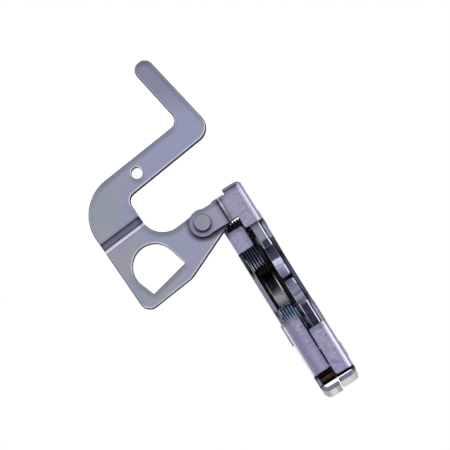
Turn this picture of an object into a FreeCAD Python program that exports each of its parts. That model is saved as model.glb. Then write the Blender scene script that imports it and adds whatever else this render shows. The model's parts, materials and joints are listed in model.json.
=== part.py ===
"""Rotary door latch with a stamped release lever, in millimetres.

Frame: X is normal to the mounting face, Y runs into the case from its mouth edge, Z runs up the
long side. X = 0 is the mounting face, Y = 0 the front of the flanges, Z = 0 the middle of the mouth.
"""
import FreeCAD, Part
import os
import re

import Sketcher

SIZES = {
    # case: two folded pans
    "sheet_wall": 2.0,
    "overrun": 1.0,
    "case_thickness": 20.25,
    "case_top": 53.0,
    "case_bottom": 61.3,
    "back_bottom": 60.3,
    "rear_room": 13.6,
    "rear_chamfer": 12.0,
    "outer_bend": 3.0,
    "bend_reach": 3.2,
    "end_bend": 4.0,
    "end_bend_reach": 4.2,
    "rear_flange_gap": 0.1,
    "back_flange": 10.0,
    "cover_flange": 9.5,
    "end_lip_start": 3.6,
    "front_flange_drop": 1.7,
    "mouth_front_half": 20.3,
    "mouth_back_half": 12.0,
    "mouth_round": 3.0,
    "back_upper_flange_foot": 29.75,
    "back_lower_flange_top": 30.0,
    "back_lower_flange_foot": 56.5,
    "cover_upper_flange_foot": 20.3,
    "cover_upper_flange_top": 32.0,
    "cover_lower_flange_top": 20.2,
    "cover_lower_flange_foot": 51.5,
    "cover_notch_foot": 31.0,
    "cover_notch_depth": 13.0,
    "cover_notch_slant": 5.0,
    "cover_top_lip_start": 22.0,
    "flange_corner": 1.3,
    # tab that carries the lever
    "tab_depth": 2.6,
    "tab_top": 49.95,
    "tab_bottom": 36.75,
    "tab_end_radius": 7.0,
    "tab_end_height": 43.7,
    "tab_roll": 0.5,
    "joggle_start": 12.8,
    "joggle_run": 2.4,
    "joggle_back_shift": 0.8,
    # lever, measured from its rivet
    "rivet_across": 26.7,
    "rivet_height": 43.9,
    "lever_wall": 2.5,
    "lever_clearance": 0.1,
    "lever_joggle_rise": 3.0,
    "lever_joggle_foot": 18.5,
    "lever_joggle_band": 3.5,
    "lever_joggle_back_shift": 1.0,
    "lever_joggle_slope": 5.3,
    "lever_joggle_round": 2.0,
    "lever_roll": 0.8,
    "pull_hole_roll": 0.5,
    "elbow_across": 29.2,
    "elbow_up": 37.2,
    "throat_top_across": 25.9,
    "throat_top_up": 30.0,
    "throat_foot_across": 24.8,
    "throat_foot_up": 3.7,
    "head_across": 0.3,
    "head_up": 6.4,
    "nose_reach": 16.6,
    "nose_top_up": 2.4,
    "nose_foot_down": 5.0,
    "underarm_across": 18.9,
    "underarm_down": 20.95,
    "heel_across": 47.7,
    "heel_down": 24.35,
    "shoulder_across": 50.9,
    "shoulder_up": 41.5,
    "crook_across": 16.3,
    "crook_up": 49.6,
    "tip_left_across": 9.8,
    "tip_left_up": 85.05,
    "tip_right_across": 19.45,
    "tip_right_up": 86.9,
    "tip_round": 4.75,
    "elbow_round": 8.0,
    "crook_round": 4.7,
    "shoulder_round": 22.0,
    "heel_round": 5.5,
    "underarm_round": 12.0,
    "throat_top_round": 4.6,
    "throat_foot_round": 12.2,
    "pull_hole_across": 31.75,
    "pull_hole_down": 5.96,
    "pull_hole_radius": 11.35,
    "pull_hole_right_across": 18.05,
    "pull_hole_right_down": 12.4,
    "pull_hole_left_across": 39.55,
    "pull_hole_left_down": 17.5,
    "link_hole_across": 15.0,
    "link_hole_up": 38.6,
    "link_hole_radius": 2.85,
    "lug_drop": 3.1,
    "lug_gap": 0.2,
    "lug_depth": 5.8,
    "lever_rivet_radius": 2.5,
    "lever_rivet_head_radius": 4.25,
    "lever_rivet_head": 1.3,
    "lever_rivet_edge_round": 0.5,
    "lever_washer_radius": 5.5,
    "lever_washer_wall": 1.0,
    "lever_rivet_tail_radius": 3.75,
    "lever_rivet_tail": 1.4,
    # rotors
    "rotor_front_gap": 0.4,
    "pivot_half_spacing": 25.0,
    "rotor_wall": 5.0,
    "rotor_wall_gap": 0.5,
    "rotor_tip_gap": 1.0,
    "rotor_hub_radius": 12.5,
    "striker_radius": 7.0,
    "striker_clearance": 0.4,
    "striker_stop_gap": 0.5,
    "striker_depth": 23.4,
    "rotor_turn": 45.0,
    "prong_back_angle": 25.0,
    "tail_notch_start": 84.0,
    "tail_notch_end": 105.0,
    "tail_notch_radius": 18.0,
    "tail_end": 128.0,
    "rotor_roll": 0.9,
    "stop_pin_radius": 2.5,
    "stop_pin_reach": 20.0,
    "stop_pin_gap": 0.1,
    # pivots
    "running_fit": 0.05,
    "bush_radius": 6.0,
    "pivot_rivet_radius": 4.0,
    "rivet_fit": 0.05,
    "pivot_head_radius": 6.2,
    "pivot_head": 1.0,
    "pawl_head": 0.8,
    "rear_head": 0.9,
    "head_round": 0.6,
    "spool_radius": 12.2,
    "spool_end_gap": 1.1,
    "spool_wall_gap": 0.1,
    "coil_radius": 13.5,
    "wire_radius": 0.65,
    "coil_pitch": 1.5,
    "coil_turns": 5.0,
    "coil_wall_gap": 0.4,
    "coil_leg": 9.0,
    # pawl and trip arm
    "pawl_behind": 26.0,
    "pawl_pivot_height": 35.5,
    "pawl_wall": 6.5,
    "pawl_bush_radius": 4.9,
    "pawl_rivet_radius": 3.0,
    "pawl_head_radius": 5.0,
    "pawl_hub_radius": 5.6,
    "pawl_leg_front": 3.5,
    "pawl_leg_back": 4.2,
    "pawl_leg_drop": 54.0,
    "pawl_nose_drop": 36.25,
    "pawl_nose_reach": 11.0,
    "pawl_nose_radius": 10.25,
    "pawl_roll": 0.8,
    "tooth_half_spacing": 13.75,
    "tooth_half_height": 2.75,
    "tooth_front": 3.0,
    "tooth_back": 2.0,
    "tooth_end_gap": 0.3,
    "arm_wall": 1.6,
    "arm_wall_gap": 0.25,
    "arm_hub_radius": 6.5,
    "arm_root_back": 11.7,
    "arm_top_gap": 2.5,
    "arm_width": 4.5,
    "arm_tip_slant": 2.0,
    "arm_front_gap": 2.0,
    "arm_foot_length": 4.0,
    "arm_foot_end": 9.6,
    "pawl_coil_radius": 6.1,
    "pawl_coil_pitch": 1.4,
    "pawl_coil_turns": 3.0,
    "pawl_wire_radius": 0.6,
    "pawl_coil_start": 9.0,
    # spacers
    "front_spacer_depth": 10.0,
    "front_spacer_down": 54.2,
    "front_spacer_radius": 3.0,
    "front_spacer_rivet_radius": 1.9,
    "rear_spacer_ahead": 8.0,
    "rear_spacer_down": 43.0,
    "rear_spacer_radius": 4.0,
    "rear_spacer_rivet_radius": 2.5,
    "rear_head_radius": 4.6,
    # mounting holes
    "mount_hole_radius": 3.25,
    "mount_hole_front": 12.0,
    "mount_hole_spacing": 32.0,
    "mount_hole_half_height": 46.0,
}

doc = FreeCAD.newDocument("door_latch")
sheet = doc.addObject("Spreadsheet::Sheet", "Sizes")
for row, (alias, value) in enumerate(SIZES.items(), start=1):
    sheet.set(f"A{row}", alias)
    sheet.set(f"B{row}", str(value))
    sheet.setAlias(f"B{row}", alias)
doc.recompute()

PARTS = []
NORMAL_SIGN = {"YZ_Plane": 1, "XZ_Plane": -1, "XY_Plane": 1}
SAME_SPOT = 0.02
RELIEF_STEPS = 4
WIRE_SIDES = 10


def formula(text):
    """An expression with each size name turned into its cell."""
    return re.sub(r"[a-z_]+", lambda m: "Sizes." + m[0] if m[0] in SIZES else m[0], text)


def number(text):
    """The present value of an expression."""
    return float(sheet.evalExpression(formula(text)))


def bind(item, prop, text):
    item.setExpression(prop, formula(text))


def new_body(name, x="0", y="0", z="0"):
    """A sub-part whose own origin lies at x, y, z of the frame."""
    body = doc.addObject("PartDesign::Body", name)
    body.Label = name
    for axis, text in zip("xyz", (x, y, z)):
        bind(body, f"Placement.Base.{axis}", text)
    PARTS.append(body)
    return body


def origin_feature(body, role):
    return next(f for f in body.Origin.OriginFeatures if f.Role == role)


def new_sketch(body, role, start):
    """A sketch on one of the body's origin planes, moved to start along the frame's axis."""
    sketch = body.newObject("Sketcher::SketchObject", f"{body.Name}_sketch")
    sketch.AttachmentSupport = [(origin_feature(body, role), "")]
    sketch.MapMode = "FlatFace"
    bind(sketch, "AttachmentOffset.Base.z", f"{NORMAL_SIGN[role]} * ({start})")
    return sketch


def hold(sketch, curve, point, across, up):
    """Dimension a point of a curve from the sketch's origin."""
    for kind, text in (("DistanceX", across), ("DistanceY", up)):
        index = sketch.addConstraint(
            Sketcher.Constraint(kind, -1, 1, curve, point, number(text)))
        bind(sketch, f"Constraints[{index}]", text)


def draw_polygon(sketch, corners):
    spots = [FreeCAD.Vector(number(a), number(b), 0) for a, b in corners]
    first = sketch.GeometryCount
    count = len(spots)
    for i in range(count):
        sketch.addGeometry(Part.LineSegment(spots[i], spots[(i + 1) % count]), False)
    for i, (across, up) in enumerate(corners):
        following = first + (i + 1) % count
        sketch.addConstraint(Sketcher.Constraint("Coincident", first + i, 2, following, 1))
        hold(sketch, first + i, 1, across, up)


def draw_circle(sketch, across, up, radius):
    centre = FreeCAD.Vector(number(across), number(up), 0)
    normal = FreeCAD.Vector(0, 0, 1)
    curve = sketch.addGeometry(Part.Circle(centre, normal, number(radius)), False)
    hold(sketch, curve, 3, across, up)
    index = sketch.addConstraint(Sketcher.Constraint("Radius", curve, number(radius)))
    bind(sketch, f"Constraints[{index}]", radius)


def extrude(body, role, start, length, polygons=(), circles=(), cut=False):
    """Pad or pocket the drawn outlines from start, by length, along the frame's axis."""
    sketch = new_sketch(body, role, start)
    for corners in polygons:
        draw_polygon(sketch, corners)
    for circle in circles:
        draw_circle(sketch, *circle)
    kind = "Pocket" if cut else "Pad"
    before = body.Shape.Volume if cut else 0.0
    feature = body.newObject(f"PartDesign::{kind}", f"{body.Name}_{kind.lower()}")
    feature.Profile = sketch
    bind(feature, "Length", length)
    feature.Reversed = (NORMAL_SIGN[role] < 0) != cut
    doc.recompute()
    if cut and not body.Shape.Volume < before:
        raise RuntimeError(f"{body.Label}: a pocket removed nothing")
    return feature


def round_edges(body, radius, axis, spots):
    """Fillet the edges that run along axis through the given spots of the other two axes."""
    doc.recompute()
    others = [i for i in range(3) if i != "XYZ".index(axis)]
    tip = body.Tip
    names = []
    for i, edge in enumerate(tip.Shape.Edges, start=1):
        ends = [tuple(v.Point) for v in edge.Vertexes]
        if len(ends) != 2 or edge.Length < SAME_SPOT:
            continue
        for spot in spots:
            if all(abs(e[o] - s) < SAME_SPOT for e in ends for o, s in zip(others, spot)):
                names.append(f"Edge{i}")
                break
    add_fillet(body, radius, tip, names)


def add_fillet(body, radius, tip, names):
    if not names:
        raise RuntimeError(f"{body.Label}: no edge to round by {radius}")
    fillet = body.newObject("PartDesign::Fillet", f"{body.Name}_fillet")
    fillet.Base = (tip, names)
    bind(fillet, "Radius", radius)
    doc.recompute()


def round_corners(body, radius, axis, corners):
    round_edges(body, radius, axis, [(number(a), number(b)) for a, b in corners])


def round_rolled(body, radius, axis, stations, keep=lambda edge: True):
    """Fillet the outline's edges that lie whole in the planes at stations along an axis."""
    doc.recompute()
    tip = body.Tip
    names = []
    for i, edge in enumerate(tip.Shape.Edges, start=1):
        box = edge.BoundBox
        low, high = ((box.XMin, box.XMax), (box.YMin, box.YMax))[axis]
        flat = any(abs(low - s) < SAME_SPOT and abs(high - s) < SAME_SPOT for s in stations)
        if flat and keep(edge):
            names.append(f"Edge{i}")
    add_fillet(body, radius, tip, names)


def lip(a0, a_sign, b0, b_sign, width, reach="bend_reach"):
    """Section of a flange folded from a web: a is across the web, b runs into it."""
    return [
        (a0, f"{b0} {b_sign} {reach}"),
        (a0, b0),
        (f"{a0} {a_sign} {width}", b0),
        (f"{a0} {a_sign} {width}", f"{b0} {b_sign} sheet_wall"),
        (f"{a0} {a_sign} sheet_wall", f"{b0} {b_sign} sheet_wall"),
        (f"{a0} {a_sign} sheet_wall", f"{b0} {b_sign} {reach}"),
    ]


def turned(name, x, y, z, steps, bore=None):
    """A round piece along X: steps are (start, length, radius), bore is a radius."""
    body = new_body(name, x, y, z)
    for start, length, radius in steps:
        extrude(body, "YZ_Plane", start, length, circles=[("0", "0", radius)])
    if bore:
        start, length = steps[0][0], steps[-1][0] + " + " + steps[-1][1]
        extrude(body, "YZ_Plane", start, f"{length} - ({start})",
                circles=[("0", "0", bore)], cut=True)
    return body


THROUGH_SHEET = "sheet_wall + 2 * overrun"


def web_mouth(body, start):
    """Cut the striker's mouth through a web: wide in front, narrower at its floor."""
    depth = "(striker_depth + striker_radius + striker_stop_gap)"
    flare = f"overrun * (mouth_front_half - mouth_back_half) / {depth}"
    corners = [
        ("-overrun", f"mouth_front_half + {flare}"),
        (depth, "mouth_back_half"),
        (depth, "-mouth_back_half"),
        ("-overrun", f"-(mouth_front_half + {flare})"),
    ]
    extrude(body, "YZ_Plane", f"{start} - overrun", THROUGH_SHEET, polygons=[corners], cut=True)
    round_corners(body, "mouth_round", "X", corners[1:3])


ROTOR_RADIUS = "(pivot_half_spacing - rotor_tip_gap)"
PIVOT_DEPTH = f"({ROTOR_RADIUS} + sheet_wall + rotor_front_gap)"
PAWL_DEPTH = f"({PIVOT_DEPTH} + pawl_behind)"
CASE_DEPTH = f"({PAWL_DEPTH} + rear_room)"
SPACER_PLACES = {
    "front": ("front_spacer_depth", "-front_spacer_down"),
    "rear": (f"{CASE_DEPTH} - rear_spacer_ahead", "-rear_spacer_down"),
}
PIVOTS = [("upper", "pivot_half_spacing"), ("lower", "-pivot_half_spacing")]


def web_holes():
    """Rivet holes that both webs share: (depth, height, radius)."""
    holes = [(PIVOT_DEPTH, height, "pivot_rivet_radius + rivet_fit") for _, height in PIVOTS]
    holes.append((PAWL_DEPTH, "pawl_pivot_height", "pawl_rivet_radius + rivet_fit"))
    for label, place in SPACER_PLACES.items():
        holes.append((*place, f"{label}_spacer_rivet_radius + rivet_fit"))
    return holes


def make_back_plate():
    body = new_body("back_plate")
    top, bottom = "case_top - bend_reach", "bend_reach - back_bottom"
    rear_top, rear_foot = "case_top - rear_chamfer", "rear_chamfer - back_bottom"
    web = [
        ("bend_reach", top),
        (f"{CASE_DEPTH} - rear_chamfer", top),
        (f"{CASE_DEPTH} - bend_reach", rear_top),
        (f"{CASE_DEPTH} - bend_reach", rear_foot),
        (f"{CASE_DEPTH} - rear_chamfer", bottom),
        ("bend_reach", bottom),
    ]
    extrude(body, "YZ_Plane", "-sheet_wall", "sheet_wall", polygons=[web])
    flange = lip("0", "-", "0", "+", "back_flange")
    upper_top = "case_top - front_flange_drop"
    extrude(body, "XY_Plane", "back_upper_flange_foot",
            f"{upper_top} - back_upper_flange_foot", polygons=[flange])
    extrude(body, "XY_Plane", "-back_lower_flange_foot",
            "back_lower_flange_foot - back_lower_flange_top", polygons=[flange])
    lip_length = f"{CASE_DEPTH} - rear_chamfer - end_lip_start"
    for edge, inward in (("case_top", "-"), ("-back_bottom", "+")):
        extrude(body, "XZ_Plane", "end_lip_start", lip_length,
                polygons=[lip("0", "-", edge, inward, "back_flange")])
    # the rear is closed by one flange that runs across to the cover's web
    rear_width = "(case_thickness - sheet_wall - rear_flange_gap)"
    extrude(body, "XY_Plane", rear_foot, f"{rear_top} - ({rear_foot})",
            polygons=[lip("0", "-", CASE_DEPTH, "-", rear_width)])
    shift, end = "joggle_start + joggle_run", "-rivet_across"
    strap = [
        ("overrun - back_flange", "0"),
        ("-joggle_start", "0"),
        (f"-({shift})", "tab_depth"),
        (end, "tab_depth"),
        (end, "tab_depth + sheet_wall"),
        (f"-({shift} - joggle_back_shift)", "tab_depth + sheet_wall"),
        ("-(joggle_start - joggle_back_shift)", "sheet_wall"),
        ("overrun - back_flange", "sheet_wall"),
    ]
    extrude(body, "XY_Plane", "tab_bottom", "tab_top - tab_bottom", polygons=[strap])
    extrude(body, "XZ_Plane", "tab_depth", "sheet_wall",
            circles=[("-rivet_across", "tab_end_height", "tab_end_radius")])
    for side in ("", "-"):
        extrude(body, "YZ_Plane", "-(sheet_wall + rotor_wall_gap + rotor_wall)",
                "rotor_wall_gap + rotor_wall + sheet_wall / 2", circles=[stop_pin(side)])
    extrude(body, "XZ_Plane", "tab_depth - overrun", THROUGH_SHEET, cut=True,
            circles=[("-rivet_across", "rivet_height", "lever_rivet_radius + rivet_fit")])
    web_mouth(body, "-sheet_wall")
    holes = web_holes()
    for depth in ("mount_hole_front", "mount_hole_front + mount_hole_spacing"):
        for side in ("", "-"):
            holes.append((depth, f"{side}mount_hole_half_height", "mount_hole_radius"))
    extrude(body, "YZ_Plane", "-sheet_wall - overrun", THROUGH_SHEET, circles=holes, cut=True)
    round_corners(body, "outer_bend", "Z", [("0", "0"), ("0", CASE_DEPTH)])
    round_corners(body, "outer_bend", "Y", [("0", "case_top"), ("0", "-back_bottom")])
    round_corners(body, "outer_bend - sheet_wall", "Z", [
        ("-sheet_wall", "sheet_wall"), ("-sheet_wall", f"{CASE_DEPTH} - sheet_wall")])
    round_corners(body, "flange_corner", "Y", [
        ("-back_flange", "back_upper_flange_foot"), ("-back_flange", "-back_lower_flange_top"),
        ("-back_flange", "-back_lower_flange_foot")])
    round_corners(body, "flange_corner", "Z", [("-back_flange", "end_lip_start")])
    roll_tab(body)
    return body


def roll_tab(body):
    """Round the front edges of the tab, from the flange to its round end."""
    root, foot = -number("back_flange"), -number("joggle_start")
    front, wall = number("tab_depth"), number("sheet_wall")
    tip = body.Tip
    names = []
    for i, edge in enumerate(tip.Shape.Edges, start=1):
        box = edge.BoundBox
        outside = box.XMax < root + SAME_SPOT and box.YMax < front + SAME_SPOT
        upright = box.XMax - box.XMin < SAME_SPOT
        behind = box.XMin > foot - SAME_SPOT and box.YMin > wall - SAME_SPOT
        on_tab = box.ZMin > number("tab_bottom") - SAME_SPOT
        if outside and on_tab and not (upright or behind or len(edge.Vertexes) == 1):
            names.append(f"Edge{i}")
    add_fillet(body, "tab_roll", tip, names)


def stop_pin(side):
    """Centre and radius of the pressed-out pin that stops a prong in its open place."""
    angle = "prong_back_angle * 1 deg"
    offset = "(stop_pin_radius + stop_pin_gap)"
    depth = f"{PIVOT_DEPTH} - stop_pin_reach * cos({angle}) + {offset} * sin({angle})"
    rise = f"pivot_half_spacing + stop_pin_reach * sin({angle}) + {offset} * cos({angle})"
    return depth, f"{side}1 * ({rise})", "stop_pin_radius"


def make_cover_plate():
    body = new_body("cover_plate")
    left = "-case_thickness"
    top, bottom = "case_top - end_bend_reach", "end_bend_reach - case_bottom"
    web = [
        ("bend_reach", "cover_notch_foot"),
        ("cover_notch_depth", "cover_notch_foot"),
        ("cover_notch_depth + cover_notch_slant", top),
        (f"{CASE_DEPTH} - rear_chamfer", top),
        (CASE_DEPTH, "case_top - rear_chamfer"),
        (CASE_DEPTH, "rear_chamfer - case_bottom"),
        (f"{CASE_DEPTH} - rear_chamfer", bottom),
        ("bend_reach", bottom),
    ]
    extrude(body, "YZ_Plane", left, "sheet_wall", polygons=[web])
    flange = lip(left, "+", "0", "+", "cover_flange")
    extrude(body, "XY_Plane", "cover_upper_flange_foot",
            "cover_upper_flange_top - cover_upper_flange_foot", polygons=[flange])
    extrude(body, "XY_Plane", "-cover_lower_flange_foot",
            "cover_lower_flange_foot - cover_lower_flange_top", polygons=[flange])
    extrude(body, "XZ_Plane", "cover_top_lip_start",
            f"{CASE_DEPTH} - rear_chamfer - cover_top_lip_start",
            polygons=[lip(left, "+", "case_top", "-", "cover_flange", "end_bend_reach")])
    extrude(body, "XZ_Plane", "end_lip_start",
            f"{CASE_DEPTH} - rear_chamfer - end_lip_start",
            polygons=[lip(left, "+", "-case_bottom", "+", "cover_flange", "end_bend_reach")])
    web_mouth(body, left)
    extrude(body, "YZ_Plane", f"{left} - overrun", THROUGH_SHEET, circles=web_holes(), cut=True)
    round_corners(body, "outer_bend", "Z", [(left, "0")])
    round_corners(body, "end_bend", "Y", [(left, "case_top"), (left, "-case_bottom")])
    inner_left = f"{left} + sheet_wall"
    round_corners(body, "outer_bend - sheet_wall", "Z", [(inner_left, "sheet_wall")])
    round_corners(body, "end_bend - sheet_wall", "Y", [
        (inner_left, "case_top - sheet_wall"), (inner_left, "sheet_wall - case_bottom")])
    free = f"{left} + cover_flange"
    round_corners(body, "flange_corner", "Y", [
        (free, "cover_upper_flange_foot"), (free, "cover_upper_flange_top"),
        (free, "-cover_lower_flange_top"), (free, "-cover_lower_flange_foot")])
    round_corners(body, "flange_corner", "Z", [
        (free, "end_lip_start"), (free, "cover_top_lip_start")])
    return body


LEVER_FRONT = "(tab_depth + sheet_wall + lever_clearance)"


def lever_outline():
    return [
        ("tip_left_across", "tip_left_up"),
        ("tip_right_across", "tip_right_up"),
        ("elbow_across", "elbow_up"),
        ("-throat_top_across", "throat_top_up"),
        ("-throat_foot_across", "throat_foot_up"),
        ("-head_across", "head_up"),
        ("nose_reach", "nose_top_up"),
        ("nose_reach", "-nose_foot_down"),
        ("-underarm_across", "-underarm_down"),
        ("-heel_across", "-heel_down"),
        ("-shoulder_across", "shoulder_up"),
        ("crook_across", "crook_up"),
    ]


def draw_pull_hole(sketch):
    """D-shaped hole: a round top, tangent sides and a straight sloping foot."""
    centre = FreeCAD.Vector(-number("pull_hole_across"), -number("pull_hole_down"), 0)
    radius = number("pull_hole_radius")
    right = FreeCAD.Vector(-number("pull_hole_right_across"), -number("pull_hole_right_down"), 0)
    left = FreeCAD.Vector(-number("pull_hole_left_across"), -number("pull_hole_left_down"), 0)
    east = centre + FreeCAD.Vector(radius, 0, 0)
    west = centre - FreeCAD.Vector(radius, 0, 0)
    top = centre + FreeCAD.Vector(0, radius, 0)
    arc = sketch.addGeometry(Part.Arc(east, top, west), False)
    side_left = sketch.addGeometry(Part.LineSegment(west, left), False)
    foot = sketch.addGeometry(Part.LineSegment(left, right), False)
    side_right = sketch.addGeometry(Part.LineSegment(right, east), False)
    hold(sketch, arc, 3, "-pull_hole_across", "-pull_hole_down")
    index = sketch.addConstraint(Sketcher.Constraint("Radius", arc, radius))
    bind(sketch, f"Constraints[{index}]", "pull_hole_radius")
    sketch.addConstraint(Sketcher.Constraint("Tangent", arc, 2, side_left, 1))
    sketch.addConstraint(Sketcher.Constraint("Coincident", side_left, 2, foot, 1))
    sketch.addConstraint(Sketcher.Constraint("Coincident", foot, 2, side_right, 1))
    sketch.addConstraint(Sketcher.Constraint("Tangent", side_right, 2, arc, 1))
    hold(sketch, foot, 1, "-pull_hole_left_across", "-pull_hole_left_down")
    hold(sketch, foot, 2, "-pull_hole_right_across", "-pull_hole_right_down")


def die_roll(shape):
    """The front edges that blanking has drawn round, each with its radius."""
    def facing(face):
        low_u, high_u, low_v, high_v = face.ParameterRange
        return face.normalAt((low_u + high_u) / 2, (low_v + high_v) / 2).y

    facings = [facing(face) for face in shape.Faces]
    hole = FreeCAD.Vector(number("-rivet_across - pull_hole_across"), 0,
                          number("rivet_height - pull_hole_down"))
    hole_reach = number("1.5 * pull_hole_radius")
    chosen = []
    for i, edge in enumerate(shape.Edges, start=1):
        beside = sorted(facings[k] for k, face in enumerate(shape.Faces)
                        if any(edge.isSame(other) for other in face.Edges))
        full_circle = len(edge.Vertexes) == 1
        if full_circle or len(beside) != 2:
            continue
        if beside[0] < -SAME_SPOT and abs(beside[1]) < SAME_SPOT:
            middle = edge.valueAt((edge.FirstParameter + edge.LastParameter) / 2)
            in_hole = (FreeCAD.Vector(middle.x, 0, middle.z) - hole).Length < hole_reach
            radius = number("pull_hole_roll" if in_hole else "lever_roll")
            chosen.append((i, radius, radius))
    return chosen


def make_release_lever():
    """A flat outline, as thick as plate and joggle together, trimmed by the joggled section."""
    place = ("-rivet_across", LEVER_FRONT, "rivet_height")
    blank = new_body("lever_blank", *place)
    PARTS.remove(blank)
    corners = lever_outline()
    extrude(blank, "XZ_Plane", "-lever_joggle_rise", "lever_wall + lever_joggle_rise",
            polygons=[corners])
    rounds = ["tip_round", "tip_round", "elbow_round", "throat_top_round", "throat_foot_round",
              None, None, None, "underarm_round", "heel_round", "shoulder_round", "crook_round"]
    for radius in dict.fromkeys(r for r in rounds if r):
        chosen = [c for c, r in zip(corners, rounds) if r == radius]
        round_corners(blank, radius, "Y", chosen)
    through = ("-lever_joggle_rise - overrun", "lever_wall + lever_joggle_rise + 2 * overrun")
    extrude(blank, "XZ_Plane", *through, cut=True, circles=[
        ("0", "0", "lever_rivet_radius + running_fit"),
        ("-link_hole_across", "link_hole_up", "link_hole_radius")])
    sketch = new_sketch(blank, "XZ_Plane", through[0])
    draw_pull_hole(sketch)
    pocket = blank.newObject("PartDesign::Pocket", "pull_hole_pocket")
    pocket.Profile = sketch
    bind(pocket, "Length", through[1])
    doc.recompute()

    section = new_body("lever_section", *place)
    PARTS.remove(section)
    foot, band = "lever_joggle_foot", "lever_joggle_band"
    rise, wall = "lever_joggle_rise", "lever_wall"
    reach = "(tip_right_up + elbow_up)"
    profile = [
        ("0", f"-{reach}"),
        ("0", foot),
        (f"-{rise}", f"{foot} + {band}"),
        (f"-{rise}", reach),
        (f"{wall} - {rise}", reach),
        (f"{wall} - {rise}", f"{foot} + {band} + lever_joggle_back_shift"),
        (wall, f"{foot} + lever_joggle_back_shift"),
        (wall, f"-{reach}"),
    ]
    extrude(section, "YZ_Plane", f"-{reach}", f"2 * {reach}", polygons=[profile])
    round_corners(section, "lever_joggle_round", "X", [*profile[1:3], *profile[5:7]])
    section.Placement.Rotation = FreeCAD.Rotation(FreeCAD.Vector(0, 1, 0), 0)
    section.setExpression("Placement.Rotation.Angle", formula("-lever_joggle_slope"))
    section.setExpression("Placement.Rotation.Axis.x", "0")
    section.setExpression("Placement.Rotation.Axis.y", "1")
    section.setExpression("Placement.Rotation.Axis.z", "0")

    plate = doc.addObject("Part::Common", "lever_plate")
    plate.Base = blank
    plate.Tool = section
    doc.recompute()
    rolled = doc.addObject("Part::Fillet", "lever_rolled")
    rolled.Base = plate
    rolled.Edges = die_roll(plate.Shape)
    doc.recompute()

    lug = doc.addObject("Part::Box", "lever_lug")
    bind(lug, "Length", "lever_wall")
    bind(lug, "Width", "lug_depth + lever_wall")
    bind(lug, "Height", "lug_drop + nose_top_up")
    bind(lug, "Placement.Base.x", "-rivet_across + nose_reach - lever_wall")
    bind(lug, "Placement.Base.y", LEVER_FRONT)
    bind(lug, "Placement.Base.z", "rivet_height - lug_drop")

    lever = doc.addObject("Part::Fuse", "release_lever")
    lever.Base = rolled
    lever.Tool = lug
    lever.Label = "release_lever"
    PARTS.append(lever)


def make_lever_fasteners():
    washer_start = f"{LEVER_FRONT} + lever_wall"
    washer = new_body("lever_washer", "-rivet_across", "0", "rivet_height")
    extrude(washer, "XZ_Plane", washer_start, "lever_washer_wall", circles=[
        ("0", "0", "lever_washer_radius"), ("0", "0", "lever_rivet_radius + rivet_fit")])
    rivet = new_body("lever_rivet", "-rivet_across", "0", "rivet_height")
    extrude(rivet, "XZ_Plane", "tab_depth - lever_rivet_head", "lever_rivet_head",
            circles=[("0", "0", "lever_rivet_head_radius")])
    shank = f"{washer_start} + lever_washer_wall"
    extrude(rivet, "XZ_Plane", "tab_depth", f"{shank} - tab_depth",
            circles=[("0", "0", "lever_rivet_radius")])
    extrude(rivet, "XZ_Plane", shank, "lever_rivet_tail",
            circles=[("0", "0", "lever_rivet_tail_radius")])
    face = number("tab_depth - lever_rivet_head")
    round_rims(rivet, "lever_rivet_edge_round", 1, [face])


def round_rims(body, radius, axis, stations):
    """Fillet the full circles that lie at the given stations along an axis (0 is X, 1 is Y)."""
    doc.recompute()
    tip = body.Tip
    names = []
    for i, edge in enumerate(tip.Shape.Edges, start=1):
        if len(edge.Vertexes) != 1:
            continue
        if any(abs(edge.Vertexes[0].Point[axis] - s) < 0.01 for s in stations):
            names.append(f"Edge{i}")
    fillet = body.newObject("PartDesign::Fillet", f"{body.Name}_rim")
    fillet.Base = (tip, names)
    bind(fillet, "Radius", radius)
    doc.recompute()


def polar(radius, angle, side):
    """A point of a rotor: angle turns from the mouth side towards the middle of the mouth."""
    return (f"-({radius}) * cos(({angle}) * 1 deg)",
            f"-{side} * ({radius}) * sin(({angle}) * 1 deg)")


def make_rotor(name, height, side):
    """A claw in its open place: two prongs round the striker's bite and a tail for the pawl."""
    body = new_body(name, "-(sheet_wall + rotor_wall_gap + rotor_wall)", PIVOT_DEPTH, height)
    wall = ("0", "rotor_wall")
    through = ("-overrun", "rotor_wall + 2 * overrun")
    extrude(body, "YZ_Plane", *wall, circles=[("0", "0", ROTOR_RADIUS)])
    round_rims(body, "rotor_roll", 0, [0, number("rotor_wall")])
    far = f"2 * {ROTOR_RADIUS}"
    gap = "(360 - prong_back_angle - tail_end)"
    relief = [("0", "0")]
    relief += [polar(far, f"tail_end + {gap} * {i} / {RELIEF_STEPS}", side)
               for i in range(RELIEF_STEPS + 1)]
    extrude(body, "YZ_Plane", *through, polygons=[relief], cut=True)
    extrude(body, "YZ_Plane", *wall, circles=[("0", "0", "rotor_hub_radius")])
    notch = [
        polar("tail_notch_radius", "tail_notch_start", side),
        polar(far, "tail_notch_start", side),
        polar(far, "tail_notch_end", side),
        polar("tail_notch_radius", "tail_notch_end", side),
    ]
    extrude(body, "YZ_Plane", *through, polygons=[notch], cut=True)
    # the bite holds the striker when the claw has turned shut
    reach = f"sqrt(pivot_half_spacing ^ 2 + ({PIVOT_DEPTH} - striker_depth) ^ 2)"
    shut = f"(90 - atan(({PIVOT_DEPTH} - striker_depth) / pivot_half_spacing) / 1 deg)"
    bite = polar(reach, f"{shut} - rotor_turn", side)
    extrude(body, "YZ_Plane", *through, cut=True, circles=[
        (*bite, "striker_radius + striker_clearance"),
        ("0", "0", "bush_radius + running_fit")])
    return body


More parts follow.
